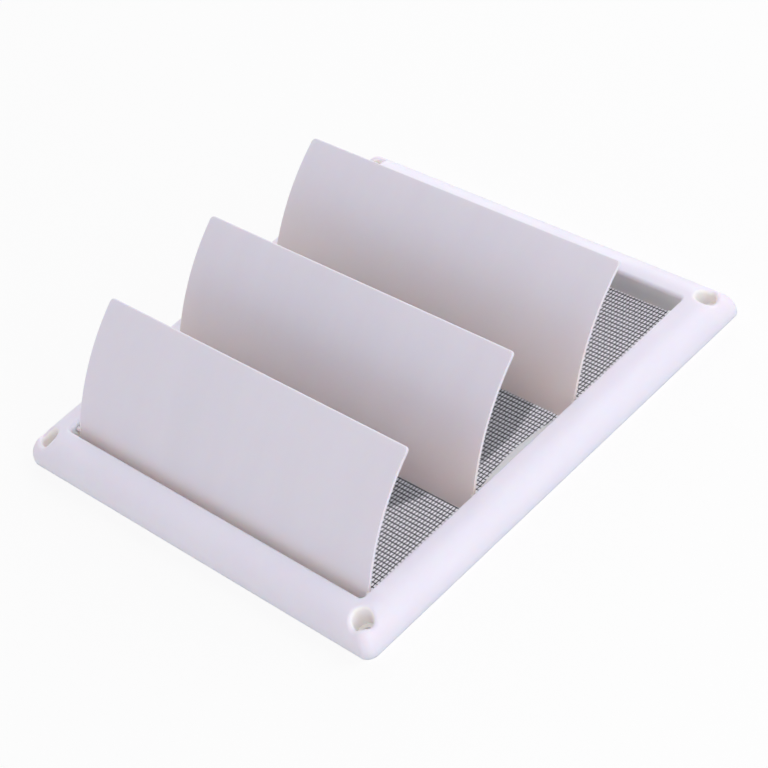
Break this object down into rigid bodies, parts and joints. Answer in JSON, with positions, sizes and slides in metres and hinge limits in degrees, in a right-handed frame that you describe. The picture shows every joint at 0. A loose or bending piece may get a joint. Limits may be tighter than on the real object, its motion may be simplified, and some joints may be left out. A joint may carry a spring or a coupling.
{
  "type": "ventilation grille",
  "caption": "Square wall ventilation grille: a rounded moulded frame with recessed corner screw holes, curved gravity flaps on end pins and an insect screen set in its back.",
  "frame": {"origin": "centre of the frame's back face, which lies on the wall", "axes": "+X along the flaps' pins, +Y from the upper bar to the lower bar as mounted, +Z out of the wall"},
  "size_m": [0.18, 0.18, 0.044],
  "materials": {
    "frame_plastic": "smooth satin white moulding",
    "flap_plastic": "smooth satin white moulding",
    "screen": "coated dark yarn, woven"
  },
  "bodies": {
    "housing": {"frame": "frame_plastic", "insect_screen": "screen"},
    "upper": {"upper_flap": "flap_plastic"},
    "middle": {"middle_flap": "flap_plastic"},
    "lower": {"lower_flap": "flap_plastic"}
  },
  "joints": [
    {"name": "upper_hinge", "type": "hinge", "parent": "housing", "child": "upper", "pos_m": [0, -0.07359, 0.0078], "axis": [1, 0, 0], "range_deg": [-44.8, 0]},
    {"name": "middle_hinge", "type": "hinge", "parent": "housing", "child": "middle", "pos_m": [0, -0.02529, 0.0078], "axis": [1, 0, 0], "range_deg": [-44.6, 0]},
    {"name": "lower_hinge", "type": "hinge", "parent": "housing", "child": "lower", "pos_m": [0, 0.02301, 0.0078], "axis": [1, 0, 0], "range_deg": [-40.9, 3.7]}
  ]
}
